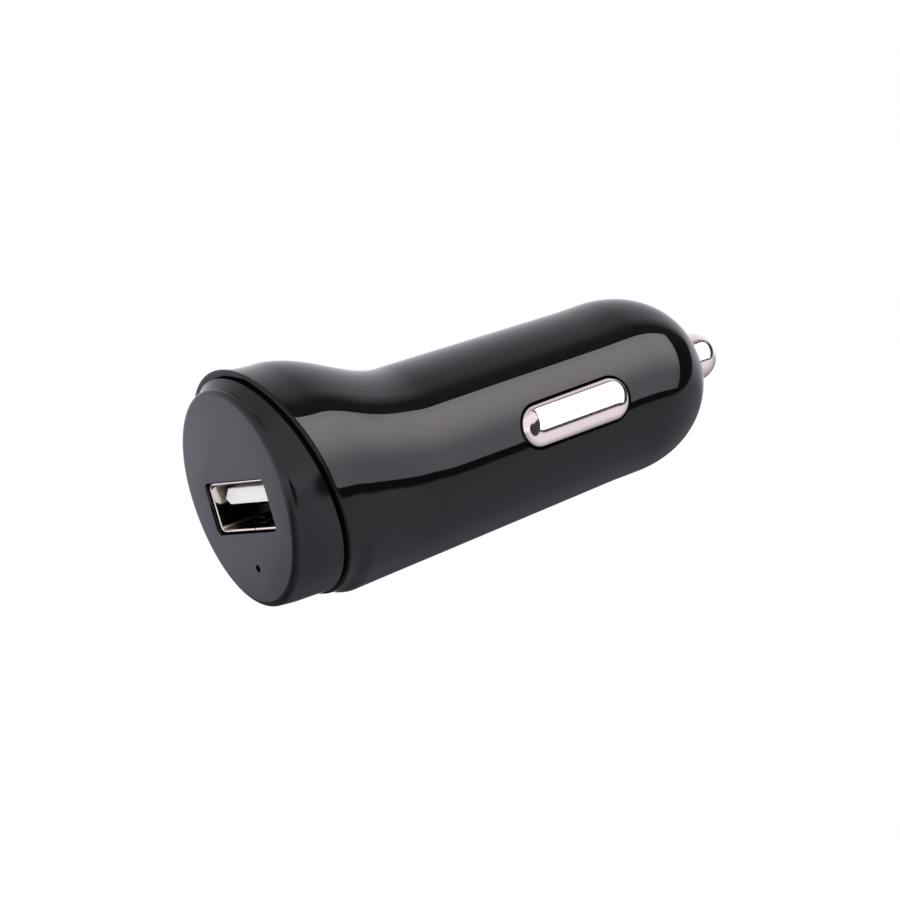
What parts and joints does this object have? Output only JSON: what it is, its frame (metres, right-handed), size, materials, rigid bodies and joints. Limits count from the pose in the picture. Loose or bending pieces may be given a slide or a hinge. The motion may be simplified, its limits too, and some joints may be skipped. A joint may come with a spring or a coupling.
{
  "type": "car usb charger plug",
  "caption": "Plug that charges by USB from a car lighter socket: glossy flared body, matte face cap with a port, sprung side contacts and sprung tip pin.",
  "frame": {"origin": "on the plug's axis, at the middle of the straight cylindrical land between the side contact windows and the nose", "axes": "+Y along the plug towards the tip pin, +Z towards the raised saddle of the head, +X towards the right-hand side contact seen from the USB face"},
  "size_m": [0.0266, 0.0664, 0.0279],
  "materials": {
    "gloss_body": "polished black moulded plastic",
    "matte_cap": "fine satin texture, dark grey",
    "nickel": "polished nickel plating",
    "white_nylon": "white glass-filled nylon",
    "gilt_contact": "flash gold plated phosphor bronze",
    "green_board": "glass epoxy board with green solder mask",
    "black_epoxy": "moulded black epoxy",
    "ferrite": "sintered dark grey ferrite",
    "copper_wire": "enamelled copper wire",
    "sleeved_can": "aluminium can in a dark blue sleeve",
    "pale_ceramic": "glazed pale ceramic",
    "tan_ceramic": "fired tan ceramic",
    "lamp_resin": "tinted clear resin",
    "tinned_wire": "tinned steel wire",
    "spring_steel": "plated spring steel",
    "brass_sheet": "bright pressed brass"
  },
  "bodies": {
    "housing": {"body_shell": "gloss_body", "face_cap": "matte_cap", "usb_shell": "nickel", "usb_insulator": "white_nylon", "usb_contact_supply": "gilt_contact", "usb_contact_data_minus": "gilt_contact", "usb_contact_data_plus": "gilt_contact", "usb_contact_ground": "gilt_contact", "circuit_board": "green_board", "controller_chip": "black_epoxy", "inductor_core": "ferrite", "inductor_winding": "copper_wire", "input_capacitor": "sleeved_can", "output_capacitor": "sleeved_can", "rectifier_diode": "black_epoxy", "fuse": "pale_ceramic", "chip_resistors": "black_epoxy", "chip_capacitors": "tan_ceramic", "indicator_lamp": "lamp_resin", "lamp_leads": "tinned_wire", "tip_spring": "spring_steel", "tip_terminal": "brass_sheet", "contact_arm_right": "spring_steel", "contact_arm_left": "spring_steel"},
    "tip": {"tip_pin": "nickel"},
    "right_contact": {"contact_right": "nickel"},
    "left_contact": {"contact_left": "nickel"}
  },
  "joints": [
    {"name": "tip_press", "type": "slide", "parent": "housing", "child": "tip", "axis": [0, -1, 0], "range_m": [0, 0.0028], "stiffness_N_per_m": 1000, "springref_m": -0.002, "deforming": ["tip_spring"]},
    {"name": "right_contact_press", "type": "slide", "parent": "housing", "child": "right_contact", "axis": [-1, 0, 0], "range_m": [0, 0.0011], "stiffness_N_per_m": 1500, "springref_m": -0.001, "deforming": ["contact_arm_right"]},
    {"name": "left_contact_press", "type": "slide", "parent": "housing", "child": "left_contact", "axis": [1, 0, 0], "range_m": [0, 0.0011], "stiffness_N_per_m": 1500, "springref_m": -0.001, "deforming": ["contact_arm_left"]}
  ]
}
